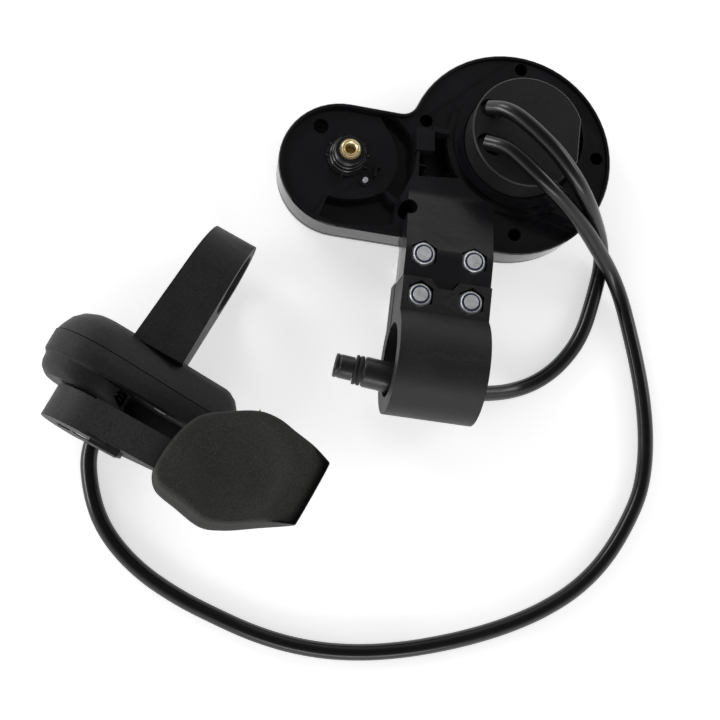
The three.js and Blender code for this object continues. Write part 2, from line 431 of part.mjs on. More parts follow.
piece(throttle, 'throttle_gland', cut(cylY(GLAND, 3.2, -7.0, 3.4, 24), cylY(GLAND, 1.2, 0.5, 4, 12)), 'rubber');
{
  const b = egg(5.2, 32);
  let board = extY(b, 9.4, 10.6);
  for (const c of SHELL_SCREWS) board = cut(board, cylY(c, 3.1, 8, 12, 16));
  piece(throttle, 'hall_board', board, 'board');
  piece(throttle, 'hall_sensor', extY(rect(-28.2, 24.2, -24.6, 26.8), 7.4, 9.1), 'dark');
}
piece(throttle, 'shaft_bush', cut(cylY(PIVOT, 4.15, -1.1, 1.6, 24), cylY(PIVOT, 3.4, -3, 3, 24)), 'brass');
{
  const pts = [];
  const turns = 3.4, n = 48;
  for (let i = 0; i <= n; i++) {
    const a = (i / n) * turns * Math.PI * 2;
    pts.push([PIVOT[0] + 5.1 * Math.cos(a), -6.6 + (4.6 * i) / n, PIVOT[1] + 5.1 * Math.sin(a)]);
  }
  piece(throttle, 'return_spring', tube(pts, 0.45, 60, 6), 'dark');
}

// ---------------------------------------------------------------- lever, pad and shaft
{
  const armProfile = [[PIVOT[0], PIVOT[1] + HUB_R], [3.0, 33.0], [3.0, 24.2], [-12.0, 13.4], [PIVOT[0], PIVOT[1] - 6]];
  let l = add(cylY(PIVOT, HUB_R, -19.8, -8.7, 44), extY(armProfile.reverse(), -18.6, -8.2));
  // the arm keeps clear of the pod beside the hub
  l = add(l, extX([[-17.6, 27.6], [-9.0, 27.6], [-9.0, 31.2], [-17.6, 31.2]], 2.0, 21.0));
  // spring cup, shaft hole and screw recess
  l = cut(l, cylY(PIVOT, 3.35, -25, 0, 24), cylY(PIVOT, 3.1, -25, -17.2, 24));
  // flat on the rim over the cable
  l = cut(l, extY([[-32, 0], [6, 0], [6, 13.2], [PIVOT[0] + HUB_R * Math.cos(-0.80), PIVOT[1] + HUB_R * Math.sin(-0.80)], [PIVOT[0] + HUB_R * Math.cos(-1.84), PIVOT[1] + HUB_R * Math.sin(-1.84)]], -25, -5));
  l = cut(l, extY(rect(-33.0, 17.8, -28.4, 23.2), -25, -17.6));
  l = add(l, extY([[-20.5, 24.0], [-11.5, 24.6], [-10.5, 31.4], [-20.5, 31.6]], -21.0, -18.0));
  piece(throttle, 'throttle_lever', l, 'throttle');
}
piece(throttle, 'pivot_shaft', cylY(PIVOT, 3.0, -16.9, 7.1, 24), 'steel');
piece(throttle, 'pivot_screw', cut(cylY(PIVOT, 2.75, -19.5, -17.3, 22), extY(rect(PIVOT[0] - 4, PIVOT[1] - 0.45, PIVOT[0] + 4, PIVOT[1] + 0.45), -22, -18.6)), 'steel');
piece(throttle, 'magnet_ring', cut(cylY(PIVOT, 6.0, 2.4, 6.2, 26), cylY(PIVOT, 3.3, 0, 8, 24)), 'steel');
{
  const top = [[48.2, 8.8], [41.4, 11.0], [34.1, 12.2], [28.3, 13.2], [23.3, 12.9], [19.8, 11.7], [15.7, 9.4], [11.5, 6.6], [7.5, 3.9], [5.4, 1.6], [3.4, -2.6],
    [2.2, -8.1], [1.6, -13.6], [1.8, -18.2], [4.4, -21.6], [13.5, -23.3], [22.5, -24.7], [28.2, -22.6], [38.5, -16.8], [47.7, -13.2]];
  const low = [[48.6, 9.0], [41.7, 11.9], [34.3, 13.4], [28.3, 14.4], [23.0, 14.1], [19.2, 12.9], [15.0, 10.5], [10.8, 7.7], [6.8, 4.9], [4.6, 2.3], [2.5, -2.2],
    [1.2, -8.0], [0.6, -13.8], [1.2, -20.0], [4.4, -24.0], [12.8, -26.0], [22.6, -27.4], [29.0, -25.0], [38.8, -18.8], [48.4, -12.6]];
  const mid = (t) => top.map((p, i) => [p[0] + (low[i][0] - p[0]) * t, p[1] + (low[i][1] - p[1]) * t]);
  let p = loft([up(mid(0.9), 27.0), up(low, 27.6), up(mid(0.55), 32), up(mid(0.2), 35.6), up(mid(-0.3), PAD_Z)].map((r) => r.slice().reverse()).reverse());
  // shallow thumb dish
  const R = (DISH[2] * DISH[2] + DISH[3] * DISH[3]) / (2 * DISH[3]);
  const prof = [[0, PAD_Z - DISH[3]]];
  for (let i = 1; i <= 7; i++) {
    const r = (DISH[2] * i) / 7;
    prof.push([r, PAD_Z - DISH[3] + R - Math.sqrt(R * R - r * r)]);
  }
  prof.push([DISH[2] + 1, PAD_Z + 2], [0, PAD_Z + 2]);
  const lens = new THREE.LatheGeometry(prof.map(V2), 36);
  lens.rotateX(Math.PI / 2).scale(1, 1, 1);
  lens.applyMatrix4(new THREE.Matrix4().makeTranslation(DISH[0], DISH[1], 0));
  p = cut(p, solid(lens));
  // front facet and the relief that lets the pad pass the pod
  p = cut(p, extY([[39.0, 37.2], [49.6, 33.4], [49.6, 40], [39.0, 40]], -40, 40));
  p = cut(p, extZ([[-5, -2.2], [18.8, -2.2], [18.8, 20], [-5, 20]], 20, 33.8));
  p = cut(p, extX([[-18.0, 27.2], [-8.6, 27.2], [-8.6, 31.6], [-18.0, 31.6]], -2, 21.4));
  p = cut(p, extY([[-3, 22], [3.3, 22], [3.3, 33.4], [-3, 33.4]], -19.0, -7.2));
  piece(throttle, 'thumb_pad', p, 'rubber');
}

// ---------------------------------------------------------------- place the set over its own origin
body.position.set(ORIGIN[0], ORIGIN[1], ORIGIN[2]);
group.updateMatrixWorld(true);

export default group;
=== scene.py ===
import json
import math
import bpy
import bmesh
from mathutils import Matrix, Vector


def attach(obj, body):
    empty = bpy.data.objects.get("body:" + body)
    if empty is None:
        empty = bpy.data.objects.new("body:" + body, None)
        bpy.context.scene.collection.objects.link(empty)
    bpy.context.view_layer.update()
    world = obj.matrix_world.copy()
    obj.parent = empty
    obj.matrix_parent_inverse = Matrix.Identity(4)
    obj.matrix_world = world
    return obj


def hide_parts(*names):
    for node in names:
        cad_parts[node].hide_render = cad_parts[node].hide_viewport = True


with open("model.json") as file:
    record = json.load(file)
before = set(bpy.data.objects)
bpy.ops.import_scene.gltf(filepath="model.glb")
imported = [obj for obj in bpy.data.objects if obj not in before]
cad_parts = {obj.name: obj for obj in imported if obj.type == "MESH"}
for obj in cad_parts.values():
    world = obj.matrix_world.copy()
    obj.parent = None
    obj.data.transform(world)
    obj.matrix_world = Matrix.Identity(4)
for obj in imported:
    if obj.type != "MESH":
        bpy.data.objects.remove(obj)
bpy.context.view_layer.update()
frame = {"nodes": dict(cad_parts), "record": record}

NODES = frame["nodes"]
MM = 0.001
OX, OY = 55.1, 53.906              # big lobe centre in the row frame, mm
THR = (-101.22, -111.14)           # throttle frame from the big lobe centre, mm
TURN = math.radians(-21.3)


def W(x, y, z):
    """Display coordinates (big lobe centre) to the row frame, metres."""
    return Vector(((x + OX) * MM, (y + OY) * MM, z * MM))


def TW(x, y, z):
    """Throttle coordinates to the row frame, metres."""
    c, s = math.cos(TURN), math.sin(TURN)
    return W(THR[0] + x * c - y * s, THR[1] + x * s + y * c, z)


TMAT = Matrix.Translation(W(THR[0], THR[1], 0)) @ Matrix.Rotation(TURN, 4, "Z")


# ------------------------------------------------------------------ camera
cam_data = bpy.data.cameras.new("camera")
cam = bpy.data.objects.new("camera", cam_data)
bpy.context.scene.collection.objects.link(cam)
cam_data.lens = 60.75
cam_data.sensor_width = 36.0
cam_data.clip_start = 0.01
cam_data.clip_end = 20.0
ROT = Matrix(((0.980797, -0.143790, -0.131761), (0.114554, 0.971509, -0.207478), (0.157840, 0.188400, 0.969325)))
cam.matrix_world = Matrix.Translation(W(-98.701, -166.898, 412.0)) @ ROT.to_4x4()
bpy.context.scene.camera = cam


# ------------------------------------------------------------------ cords
MAIN = [[-12.06, 9.51, 29.5], [-8.53, 8.38, 33.12], [-5.96, 7.08, 34.92], [-3.08, 5.17, 36.23], [0.77, 2.19, 37.23], [5.27, -1.32, 37.65],
        [9.8, -4.82, 37.33], [13.95, -8.25, 36.31], [17.73, -11.46, 34.65], [20.99, -14.13, 32.53], [24.04, -16.39, 29.75],
        [27.0, -18.25, 26.21], [30.63, -20.19, 20.87], [34.68, -22.43, 14.35], [37.16, -24.38, 10.19], [38.7, -26.34, 7.49],
        [39.72, -28.6, 5.56], [40.3, -31.57, 4.1], [40.3, -34.88, 3.3], [39.63, -39.78, 2.93], [38.2, -47.64, 2.81], [36.49, -54.94, 2.8],
        [34.45, -60.56, 2.8], [31.87, -65.4, 2.8], [28.43, -70.29, 2.8], [24.71, -74.31, 2.8], [20.67, -77.62, 2.89], [16.46, -80.24, 3.32],
        [12.52, -82.13, 4.21], [7.97, -83.93, 6.02], [1.69, -85.81, 9.09], [-5.14, -87.35, 12.39], [-9.68, -88.09, 14.24],
        [-13.53, -88.28, 15.09], [-19.22, -87.95, 15.33]]
FEED = [[-11.93, -3.01, 29.5], [-6.03, -5.35, 33.25], [-1.34, -8.65, 34.64], [4.85, -13.22, 34.59], [10.64, -16.7, 33.0],
        [17.44, -19.88, 29.13], [26.9, -24.76, 22.12], [34.81, -29.94, 15.64], [41.42, -34.53, 9.77], [45.8, -39.15, 6.42],
        [49.45, -44.94, 4.2], [52.94, -53.38, 3.07], [56.88, -65.5, 2.78], [60.03, -77.85, 2.79], [62.04, -90.43, 2.8], [62.47, -102.4, 2.8],
        [61.26, -112.3, 2.8], [57.98, -121.98, 2.8], [52.51, -133.2, 2.8], [46.37, -142.0, 2.8], [38.86, -149.65, 2.8], [29.18, -156.72, 2.8],
        [18.01, -162.84, 2.8], [6.29, -167.83, 2.8], [-5.79, -171.92, 2.8], [-18.11, -175.18, 2.8], [-30.66, -177.36, 2.8],
        [-43.37, -178.17, 2.8], [-56.08, -177.35, 2.8], [-68.58, -174.92, 2.8], [-80.77, -171.2, 2.8], [-92.74, -166.83, 2.8],
        [-104.18, -161.23, 2.8], [-112.76, -155.23, 2.8], [-119.63, -148.35, 2.79], [-124.08, -141.45, 2.8], [-127.58, -132.39, 2.87],
        [-128.96, -125.08, 3.3], [-128.33, -118.99, 3.9], [-124.72, -110.0, 4.2]]
CABLE_D = 5.5


def centripetal(points, per=6):
    """Samples of the same smooth curve as the tube solids follow."""
    P = [Vector(p) for p in points]
    n = len(P)
    out = []
    for i in range(n - 1):
        p1, p2 = P[i], P[i + 1]
        p0 = P[i - 1] if i > 0 else p1 + (p1 - p2)
        p3 = P[i + 2] if i + 2 < n else p2 + (p2 - p1)
        d0 = max((p0 - p1).length ** 0.5, 1e-4)
        d1 = max((p1 - p2).length ** 0.5, 1e-4)
        d2 = max((p2 - p3).length ** 0.5, 1e-4)
        m1 = ((p1 - p0) / d0 - (p2 - p0) / (d0 + d1) + (p2 - p1) / d1) * d1
        m2 = ((p2 - p1) / d1 - (p3 - p1) / (d1 + d2) + (p3 - p2) / d2) * d1
        for k in range(per):
            t = k / per
            out.append((2 * p1 - 2 * p2 + m1 + m2) * t ** 3 + (-3 * p1 + 3 * p2 - 2 * m1 - m2) * t ** 2 + m1 * t + p1)
    out.append(P[-1])
    return out


def run_length(pts):
    return sum((b - a).length for a, b in zip(pts, pts[1:]))


def cable(name, points, diameter=CABLE_D):
    cu = bpy.data.curves.new(name, "CURVE")
    cu.dimensions = "3D"
    cu.bevel_depth = diameter / 2 * MM
    cu.bevel_resolution = 7
    cu.use_fill_caps = True
    cu.resolution_u = 1
    path = centripetal(points, 5)
    sp = cu.splines.new("POLY")
    sp.points.add(len(path) - 1)
    for q, p in zip(sp.points, path):
        w = W(*p)
        q.co = (w.x, w.y, w.z, 1.0)
    sp.use_smooth = True
    ob = bpy.data.objects.new(name, cu)
    bpy.context.scene.collection.objects.link(ob)
    return ob, run_length(path) * MM


# ------------------------------------------------------------------ materials
class Nodes:
    """A small builder for shader graphs."""

    def __init__(self, name):
        self.mat = bpy.data.materials.new(name)
        self.mat.use_nodes = True
        self.t = self.mat.node_tree
        for n in list(self.t.nodes):
            self.t.nodes.remove(n)
        self.out = self.n("ShaderNodeOutputMaterial")
        self.bsdf = self.n("ShaderNodeBsdfPrincipled")
        self.t.links.new(self.bsdf.outputs["BSDF"], self.out.inputs["Surface"])
        self.coord = self.n("ShaderNodeTexCoord")

    def n(self, kind, **kw):
        node = self.t.nodes.new(kind)
        for k, v in kw.items():
            setattr(node, k, v)
        return node

    def link(self, a, b):
        self.t.links.new(a, b)

    def set(self, **kw):
        for k, v in kw.items():
            self.bsdf.inputs[k.replace("_", " ")].default_value = v

    def noise(self, scale, detail=4.0, rough=0.55, distortion=0.0, vec=None):
        n = self.n("ShaderNodeTexNoise")
        n.inputs["Scale"].default_value = scale
        n.inputs["Detail"].default_value = detail
        n.inputs["Roughness"].default_value = rough
        n.inputs["Distortion"].default_value = distortion
        self.link(vec or self.coord.outputs["Object"], n.inputs["Vector"])
        return n.outputs["Fac"]

    def voronoi(self, scale, feature="F1", vec=None):
        n = self.n("ShaderNodeTexVoronoi", feature=feature)
        n.inputs["Scale"].default_value = scale
        self.link(vec or self.coord.outputs["Object"], n.inputs["Vector"])
        return n.outputs["Distance"]

    def wave(self, scale, vec, direction="X", distortion=0.0):
        n = self.n("ShaderNodeTexWave", bands_direction=direction)
        n.inputs["Scale"].default_value = scale
        n.inputs["Distortion"].default_value = distortion
        self.link(vec, n.inputs["Vector"])
        return n.outputs["Fac"]

    def ramp(self, fac, stops):
        n = self.n("ShaderNodeValToRGB")
        els = n.color_ramp.elements
        while len(els) < len(stops):
            els.new(0.5)
        for e, (pos, col) in zip(els, stops):
            e.position = pos
            e.color = (*col, 1.0) if len(col) == 3 else col
        self.link(fac, n.inputs["Fac"])
        return n.outputs["Color"]

    def remap(self, fac, lo, hi, a=0.0, b=1.0):
        n = self.n("ShaderNodeMapRange")
        n.inputs["From Min"].default_value = a
        n.inputs["From Max"].default_value = b
        n.inputs["To Min"].default_value = lo
        n.inputs["To Max"].default_value = hi
        self.link(fac, n.inputs["Value"])
        return n.outputs["Result"]

    def math(self, op, a, b):
        n = self.n("ShaderNodeMath", operation=op)
        for i, v in enumerate((a, b)):
            if isinstance(v, (int, float)):
                n.inputs[i].default_value = v
            else:
                self.link(v, n.inputs[i])
        return n.outputs["Value"]

    def mix(self, fac, a, b):
        n = self.n("ShaderNodeMix", data_type="RGBA")
        for sock, v in ((n.inputs[0], fac), (n.inputs[6], a), (n.inputs[7], b)):
            if isinstance(v, (int, float)):
                sock.default_value = v
            elif isinstance(v, tuple):
                sock.default_value = (*v, 1.0)
            else:
                self.link(v, sock)
        return n.outputs[2]

    def bump(self, height, strength, distance, normal=None):
        n = self.n("ShaderNodeBump")
        n.inputs["Strength"].default_value = strength
        n.inputs["Distance"].default_value = distance
        self.link(height, n.inputs["Height"])
        if normal is not None:
            self.link(normal, n.inputs["Normal"])
        return n.outputs["Normal"]

    def edges(self, radius=0.0004):
        """Brighter where the surface turns sharply: a painted edge highlight, partly edge wear."""
        g = self.n("ShaderNodeNewGeometry")
        return self.remap(g.outputs["Pointiness"], 0.0, 1.0, 0.515, 0.58)


def plastic(name, base, light, rough, grain_scale, grain, edge=0.25, blotch=60.0, spec=0.5, coat=0.0, speckle=0.0):
    m = Nodes(name)
    big = m.noise(blotch, 3.0, 0.6)
    fine = m.noise(grain_scale, 6.0, 0.65)
    col = m.ramp(big, [(0.3, base), (0.75, light)])
    # painted highlight on sharp edges, partly edge wear: edges mixed towards a lighter colour
    edge_highlight_and_wear = m.edges()
    highlight_and_wear_colour = tuple(min(1.0, c * 2.2 + 0.012) for c in light)
    col = m.mix(m.math("MULTIPLY", edge_highlight_and_wear, edge), col, highlight_and_wear_colour)
    if speckle:
        dots = m.noise(1500.0, 5.0, 0.7)
        dark = tuple(c * (1.0 - speckle) for c in base)
        col = m.mix(m.remap(dots, 0.0, 0.75, 0.52, 0.36), col, dark)
        col = m.mix(m.remap(dots, 0.0, 0.6, 0.54, 0.68), col, tuple(c * (1.0 + 1.6 * speckle) for c in light))
    m.link(col, m.bsdf.inputs["Base Color"])
    r = m.remap(fine, rough - 0.07, rough + 0.09, 0.3, 0.7)
    r2 = m.math("ADD", r, m.remap(big, -0.04, 0.05, 0.3, 0.7))
    m.link(r2, m.bsdf.inputs["Roughness"])
    m.link(m.bump(fine, grain, 0.00012), m.bsdf.inputs["Normal"])
    m.set(Specular_IOR_Level=spec, Coat_Weight=coat)
    if coat:
        m.set(Coat_Roughness=0.06)
    return m.mat


def gloss(name, base=(0.0035, 0.0036, 0.0042), light=(0.0072, 0.0075, 0.0090)):
    m = Nodes(name)
    big = m.noise(38.0, 4.0, 0.6, 0.6)
    ripple = m.noise(150.0, 2.0, 0.5, 0.4)
    fine = m.noise(2600.0, 3.0, 0.6)
    col = m.ramp(big, [(0.3, base), (0.78, light)])
    # painted highlight: sharp edges mixed towards a lighter grey
    m.link(m.mix(m.math("MULTIPLY", m.edges(), 0.3), col, (0.016, 0.0165, 0.019)), m.bsdf.inputs["Base Color"])
    scr_map = m.n("ShaderNodeMapping")
    scr_map.inputs["Scale"].default_value = (900.0, 60.0, 300.0)
    scr_map.inputs["Rotation"].default_value = (0.2, 0.1, 0.7)
    m.link(m.coord.outputs["Object"], scr_map.inputs["Vector"])
    scr = m.noise(1.0, 5.0, 0.7, 0.2, scr_map.outputs["Vector"])
    smudge = m.remap(big, 0.08, 0.22, 0.35, 0.75)
    r = m.math("ADD", smudge, m.remap(scr, 0.0, 0.07, 0.52, 0.75))
    sep = m.n("ShaderNodeSeparateXYZ")
    m.link(m.coord.outputs["Object"], sep.inputs["Vector"])
    high = m.remap(sep.outputs["Z"], 0.0, 1.0, 0.0183, 0.0187)      # plateau and arm are satin
    r = m.math("ADD", r, m.math("MULTIPLY", high, m.remap(big, 0.09, 0.15)))
    m.link(r, m.bsdf.inputs["Roughness"])
    nrm = m.bump(ripple, 0.22, 0.0006)
    nrm = m.bump(fine, 0.05, 0.00005, nrm)
    m.link(nrm, m.bsdf.inputs["Normal"])
    m.set(Specular_IOR_Level=0.5)
    return m.mat


def steel(name, tint=(0.62, 0.63, 0.66), rough=0.2, metallic=1.0):
    m = Nodes(name)
    mp = m.n("ShaderNodeMapping")
    mp.inputs["Scale"].default_value = (2200.0, 420.0, 2200.0)
    m.link(m.coord.outputs["Object"], mp.inputs["Vector"])
    brushed = m.noise(1.0, 4.0, 0.6, 0.0, mp.outputs["Vector"])
    blot = m.noise(420.0, 3.0, 0.6)
    dark = tuple(c * 0.6 for c in tint)
    col = m.ramp(blot, [(0.25, dark), (0.7, tint)])
    m.link(col, m.bsdf.inputs["Base Color"])
    m.link(m.math("ADD", m.remap(brushed, rough - 0.06, rough + 0.12), m.remap(blot, -0.03, 0.08)), m.bsdf.inputs["Roughness"])
    m.link(m.bump(brushed, 0.18, 0.00004), m.bsdf.inputs["Normal"])
    m.set(Metallic=metallic)
    return m.mat


def cable_skin(name):
    m = Nodes(name)
    big = m.noise(90.0, 3.0, 0.6)
    fine = m.noise(2400.0, 4.0, 0.6)
    lumps = m.noise(260.0, 2.0, 0.5)
    col = m.ramp(big, [(0.3, (0.0035, 0.0035, 0.0038)), (0.75, (0.007, 0.007, 0.0078))])
    m.link(col, m.bsdf.inputs["Base Color"])
    m.link(m.math("ADD", m.remap(fine, 0.15, 0.25), m.remap(lumps, -0.02, 0.05)), m.bsdf.inputs["Roughness"])
    nrm = m.bump(lumps, 0.10, 0.0003)
    m.link(m.bump(fine, 0.10, 0.00006, nrm), m.bsdf.inputs["Normal"])
    m.set(Specular_IOR_Level=0.5)
    return m.mat


def brass(name):
    m = Nodes(name)
    blot = m.noise(700.0, 4.0, 0.6)
    col = m.ramp(blot, [(0.25, (0.66, 0.48, 0.21)), (0.7, (0.98, 0.86, 0.55))])
    m.link(col, m.bsdf.inputs["Base Color"])
    m.link(m.remap(blot, 0.16, 0.34), m.bsdf.inputs["Roughness"])
    m.link(m.bump(m.noise(5200.0), 0.15, 0.00003), m.bsdf.inputs["Normal"])
    m.set(Metallic=0.7)
    return m.mat


def board(name):
    m = Nodes(name)
    tr = m.voronoi(420.0, "DISTANCE_TO_EDGE")
    col = m.ramp(tr, [(0.02, (0.010, 0.016, 0.011)), (0.08, (0.0025, 0.0045, 0.003))])
    m.link(col, m.bsdf.inputs["Base Color"])
    m.link(m.remap(m.noise(900.0), 0.25, 0.45), m.bsdf.inputs["Roughness"])
    m.link(m.bump(tr, 0.2, 0.00005), m.bsdf.inputs["Normal"])
    return m.mat


def glass_lens(name):
    m = Nodes(name)
    big = m.noise(60.0, 3.0, 0.6)
    col = m.ramp(big, [(0.3, (0.004, 0.005, 0.007)), (0.8, (0.008, 0.010, 0.013))])
    m.link(col, m.bsdf.inputs["Base Color"])
    m.link(m.remap(m.noise(1500.0, 5.0), 0.03, 0.10), m.bsdf.inputs["Roughness"])
    m.set(Coat_Weight=0.6, Coat_Roughness=0.02)
    return m.mat


def lcd(name):
    m = Nodes(name)
    big = m.noise(120.0, 3.0, 0.6)
    col = m.ramp(big, [(0.3, (0.05, 0.065, 0.05)), (0.8, (0.09, 0.11, 0.085))])
    m.link(col, m.bsdf.inputs["Base Color"])
    m.link(m.remap(m.noise(2000.0), 0.2, 0.35), m.bsdf.inputs["Roughness"])
    return m.mat


MATS = {
    "gloss_black_plastic": gloss("gloss_black"),
    "matte_black_plastic": plastic("matte_black", (0.0080, 0.0081, 0.0090), (0.0135, 0.0137, 0.0150), 0.50, 1500.0, 0.32, 0.25, 60.0, 0.35, 0.0, 0.2),
    "grained_plastic": plastic("grained_black", (0.0105, 0.0106, 0.0112), (0.0175, 0.0177, 0.0186), 0.54, 1250.0, 0.60, 0.30, 70.0, 0.30, 0.0, 0.32),
    "grip_rubber": plastic("grip_rubber", (0.026, 0.026, 0.0245), (0.037, 0.0368, 0.0345), 0.66, 1700.0, 0.50, 0.20, 45.0, 0.22, 0.0, 0.30),
    "black_rubber": plastic("black_rubber", (0.008, 0.008, 0.0088), (0.015, 0.015, 0.0162), 0.30, 1900.0, 0.22, 0.35, 60.0, 0.60),
    "cable_jacket": cable_skin("cable_jacket"),
    "stainless_steel": steel("stainless", (0.86, 0.87, 0.89), 0.30, 0.45),
    "blackened_steel": steel("blackened", (0.013, 0.0135, 0.015), 0.46),
    "blue_grey_nylon": plastic("nylon_insert", (0.026, 0.034, 0.085), (0.048, 0.060, 0.135), 0.34, 2200.0, 0.2),
    "brass": brass("brass"),
    "circuit_board": board("board"),
    "lens_glass": glass_lens("lens"),
    "lcd_cell": lcd("lcd"),
}
SLOT = {s["node"]: s["material_slot"] for s in frame["record"]["subparts"]}
for name, ob in NODES.items():
    m = MATS[SLOT[name]]
    if ob.material_slots:
        for sl in ob.material_slots:
            sl.material = m
    else:
        ob.data.materials.append(m)


def crisp(ob, width, segments=3, angle=34.0):
    """Merged corners, rounded edges and smooth shading on a solid, by modifiers only."""
    me = ob.data
    if "custom_normal" in me.attributes:
        me.attributes.remove(me.attributes["custom_normal"])
    me.polygons.foreach_set("use_smooth", [True] * len(me.polygons))
    if "sharp_edge" in me.attributes:
        me.attributes.remove(me.attributes["sharp_edge"])
    w = ob.modifiers.new("merge", "WELD")
    w.merge_threshold = 0.000004
    d = ob.modifiers.new("flats", "DECIMATE")
    d.decimate_type = "DISSOLVE"
    d.angle_limit = math.radians(0.6)
    if width > 0:
        b = ob.modifiers.new("round", "BEVEL")
        b.width = width * MM
        b.segments = segments
        b.limit_method = "ANGLE"
        b.angle_limit = math.radians(angle)
        b.use_clamp_overlap = True
        b.miter_outer = "MITER_ARC"
    e = ob.modifiers.new("creases", "EDGE_SPLIT")
    e.split_angle = math.radians(38.0)
    n = ob.modifiers.new("flatten", "WEIGHTED_NORMAL")
    n.keep_sharp = True
    n.weight = 80


ROUND = {"rear_housing": 0.28, "front_bezel": 0.2, "cable_box": 0.7, "handlebar_clamp": 0.45, "throttle_upper_shell": 0.5, "throttle_lower_shell": 0.35,
         "throttle_lever": 0.6, "thumb_pad": 0.7, "brass_insert": 0.15, "bay_pin": 0.2, "connector_body": 0.12, "connector_ring": 0.12, "connector_nose": 0.2,
         "throttle_gland": 0.3, "grommet_upper": 0.3, "grommet_lower": 0.3, "button_power": 0.3, "button_mode": 0.3, "lcd_lens": 0.15}
for name, ob in NODES.items():
    w = ROUND.get(name)
    if w is None:
        w = 0.12 if ("screw" in name or "nut" in name or "ring" in name or "bolt" in name or "pin" in name) else 0.05
    if name in ("main_cable", "throttle_cable"):
        continue
    crisp(ob, w)

# ------------------------------------------------------------------ cables as round curves
main_cable, main_len = cable("main_cable_jacket", MAIN)
feed_cable, feed_len = cable("throttle_cable_jacket", FEED)
for ob, node in ((main_cable, "main_cable"), (feed_cable, "throttle_cable")):
    ob.data.materials.append(MATS["cable_jacket"])
    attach(ob, "set")
    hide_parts(node)

# ------------------------------------------------------------------ modelled pieces
def mesh_piece(name, verts, faces, slot, body, hides=None, smooth=True):
    me = bpy.data.meshes.new(name)
    me.from_pydata([tuple(v) for v in verts], [], faces)
    me.validate()
    me.polygons.foreach_set("use_smooth", [smooth] * len(me.polygons))
    ob = bpy.data.objects.new(name, me)
    bpy.context.scene.collection.objects.link(ob)
    me.materials.append(MATS[slot])
    bm2 = bmesh.new()
    bm2.from_mesh(me)
    bmesh.ops.recalc_face_normals(bm2, faces=bm2.faces)
    bm2.to_mesh(me)
    bm2.free()
    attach(ob, body)
    if hides:
        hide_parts(hides)
    return ob


def rings_to_mesh(rings, close_ends=True):
    n = len(rings[0])
    verts = [p for r in rings for p in r]
    faces = []
    for k in range(len(rings) - 1):
        for i in range(n):
            j = (i + 1) % n
            faces.append((k * n + i, k * n + j, (k + 1) * n + j, (k + 1) * n + i))
    if close_ends:
        for k in (0, len(rings) - 1):
            c = Vector((0, 0, 0))
            for q in rings[k]:
                c += q
            verts.append(c / n)
            m = len(verts) - 1
            for i in range(n):
                faces.append((k * n + i, k * n + (i + 1) % n, m))
    return verts, faces


def split(ob, angle=40.0):
    e = ob.modifiers.new("creases", "EDGE_SPLIT")
    e.split_angle = math.radians(angle)


# knurled brass insert: toothed collar, sunk face, countersunk bore
BOSS = (-57.4, -10.5)


def toothed(r0, r1, z, teeth=34):
    out = []
    for i in range(teeth * 4):
        a = 2 * math.pi * i / (teeth * 4)
        r = r1 if i % 4 in (0, 1) else r0
        out.append(W(BOSS[0] + r * math.cos(a), BOSS[1] + r * math.sin(a), z))
    return out


v, f = rings_to_mesh([toothed(3.35, 3.35, 12.9), toothed(3.45, 3.74, 13.0), toothed(3.45, 3.74, 21.35), toothed(3.42, 3.62, 21.62), toothed(3.2, 3.25, 21.66),
                      toothed(3.12, 3.12, 21.5), toothed(3.08, 3.08, 22.05), toothed(2.9, 2.9, 22.2), toothed(2.35, 2.35, 22.2), toothed(1.95, 1.95, 21.8),
                      toothed(1.9, 1.9, 21.0), toothed(1.75, 1.75, 20.7), toothed(1.9, 1.9, 20.4), toothed(1.75, 1.75, 20.1), toothed(1.9, 1.9, 19.8),
                      toothed(1.75, 1.75, 19.5), toothed(1.9, 1.9, 19.2), toothed(1.9, 1.9, 14.2)])
insert = mesh_piece("knurled_insert", v, f, "brass", "set", "brass_insert")
split(insert)

# moulded ribs round the boss under the insert
def lathe(profile, n=72, centre=BOSS):
    return [[W(centre[0] + r * math.cos(2 * math.pi * i / n), centre[1] + r * math.sin(2 * math.pi * i / n), z) for i in range(n)] for r, z in profile]


prof = [(7.0, 13.7), (7.28, 13.9), (7.3, 15.0), (7.16, 15.24), (6.7, 15.28)]
for k, (r, z) in enumerate(((6.34, 15.5), (6.30, 16.2), (5.66, 16.9), (5.62, 17.6), (5.05, 18.3), (5.02, 19.0), (4.98, 19.7), (4.96, 20.4))):
    prof += [(r - 0.16, z - 0.26), (r + 0.10, z - 0.10), (r + 0.16, z + 0.06), (r + 0.02, z + 0.22)]
prof += [(4.9, 20.82), (4.3, 20.86), (4.0, 20.84), (3.98, 20.4)]
v, f = rings_to_mesh(lathe(prof), close_ends=False)
ribs = mesh_piece("boss_ribs", v, f, "gloss_black_plastic", "set")
split(ribs, 50.0)
for k in range(10):
    a = 2 * math.pi * k / 10 + 0.15
    c, sn = math.cos(a), math.sin(a)
    box = []
    for z, r0, r1 in ((13.9, 6.9, 8.1), (15.0, 6.9, 7.6), (15.3, 5.9, 6.9), (17.2, 5.3, 6.1)):
        for rr, off in ((r0, -0.22), (r1, -0.16), (r1, 0.16), (r0, 0.22)):
            box.append(W(BOSS[0] + rr * c - off * sn, BOSS[1] + rr * sn + off * c, z))
    v, f = rings_to_mesh([box[i * 4:i * 4 + 4] for i in range(4)])
    rib = mesh_piece("boss_gusset_%d" % (k + 1), v, f, "gloss_black_plastic", "set", smooth=False)
    bv = rib.modifiers.new("round", "BEVEL")
    bv.width = 0.00008
    bv.segments = 2

